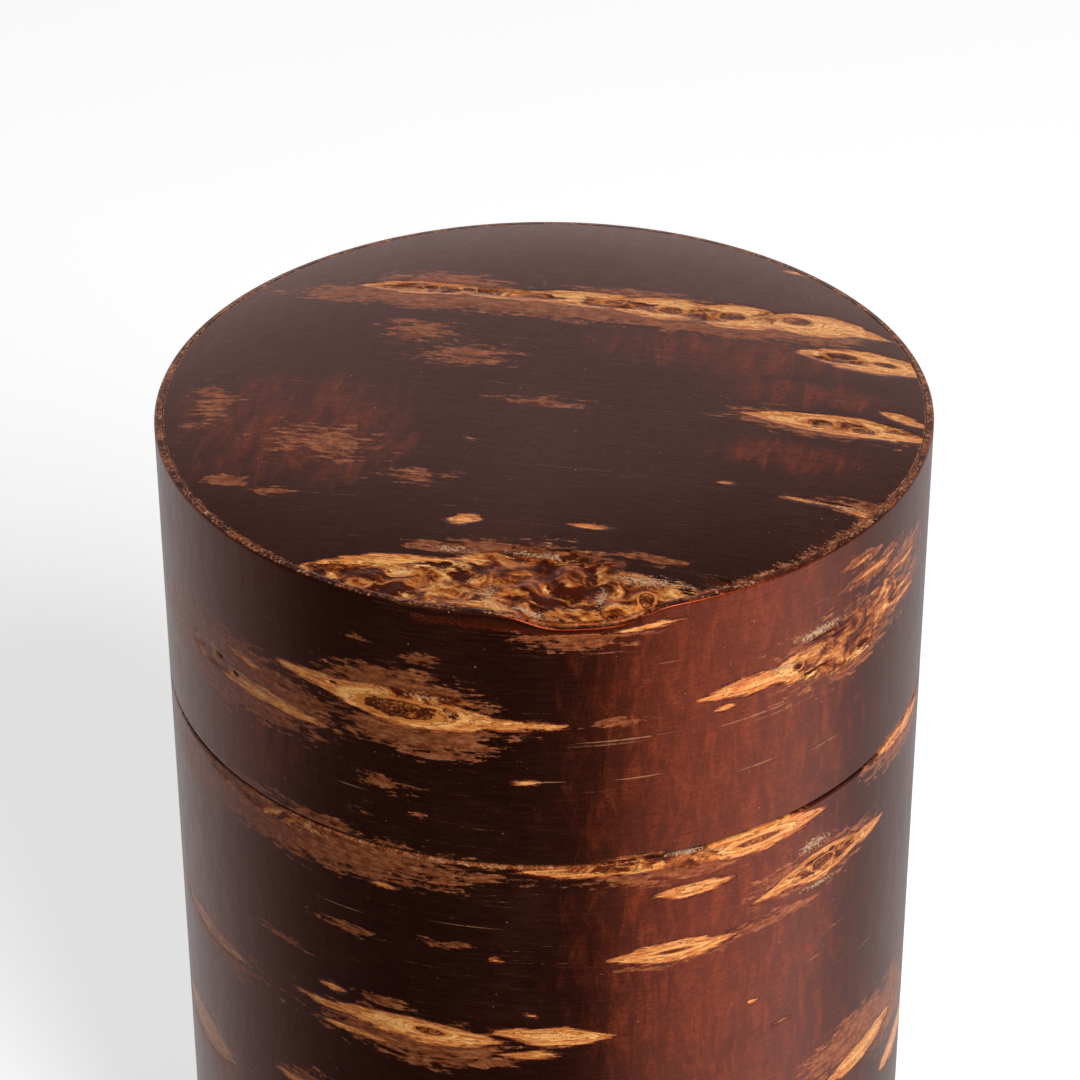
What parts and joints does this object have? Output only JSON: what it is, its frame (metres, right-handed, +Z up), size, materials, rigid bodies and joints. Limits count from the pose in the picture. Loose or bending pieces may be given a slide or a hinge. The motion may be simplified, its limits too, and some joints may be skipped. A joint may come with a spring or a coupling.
{
  "type": "tea caddy",
  "caption": "Round tea caddy of wound veneer faced with polished cherry bark, with a domed lift-off lid on a sleeve neck and a knobbed inner lid.",
  "frame": {"origin": "centre of the base, on the plane it stands on", "axes": "+Z up along the caddy's axis, -Y towards the front, +X to the front's right"},
  "size_m": [0.08, 0.08, 0.1151],
  "materials": {
    "side_bark": "polished dark cherry bark with amber lens marks, satin gloss",
    "top_bark": "polished dark cherry bark with amber lens marks, satin gloss",
    "base_bark": "rubbed dark cherry bark, low sheen",
    "neck_bark": "smooth cherry bark, satin",
    "lining_bark": "plain cherry bark lining, matt",
    "knob_bark": "stacked cherry bark, polished across its layers",
    "veneer": "wound pale veneer, end grain left plain",
    "board": "plain pale wood"
  },
  "bodies": {
    "container": {"body_side_bark": "side_bark", "body_veneer_core": "veneer", "body_side_lining": "lining_bark", "bottom_board": "board", "bottom_bark": "base_bark", "floor_bark": "lining_bark", "inner_sleeve_bark": "neck_bark", "inner_sleeve_core": "veneer", "inner_sleeve_lining": "lining_bark"},
    "lid": {"lid_side_bark": "side_bark", "lid_veneer_core": "veneer", "lid_side_lining": "lining_bark", "lid_top_board": "board", "lid_top_bark": "top_bark", "lid_top_lining": "lining_bark"},
    "inner_lid": {"inner_lid_board": "board", "inner_lid_top_bark": "top_bark", "inner_lid_under_bark": "lining_bark", "inner_lid_rim_bark": "neck_bark", "inner_lid_knob": "knob_bark"}
  },
  "joints": [
    {"name": "lid_lift", "type": "slide", "parent": "container", "child": "lid", "axis": [0, 0, 1], "range_m": [0, 0.08]},
    {"name": "inner_lid_lift", "type": "slide", "parent": "container", "child": "inner_lid", "axis": [0, 0, 1], "range_m": [0, 0.04]}
  ],
  "couplings": [
    {"joint": "inner_lid_lift", "follows": "lid_lift", "ratio": 0.5}
  ]
}
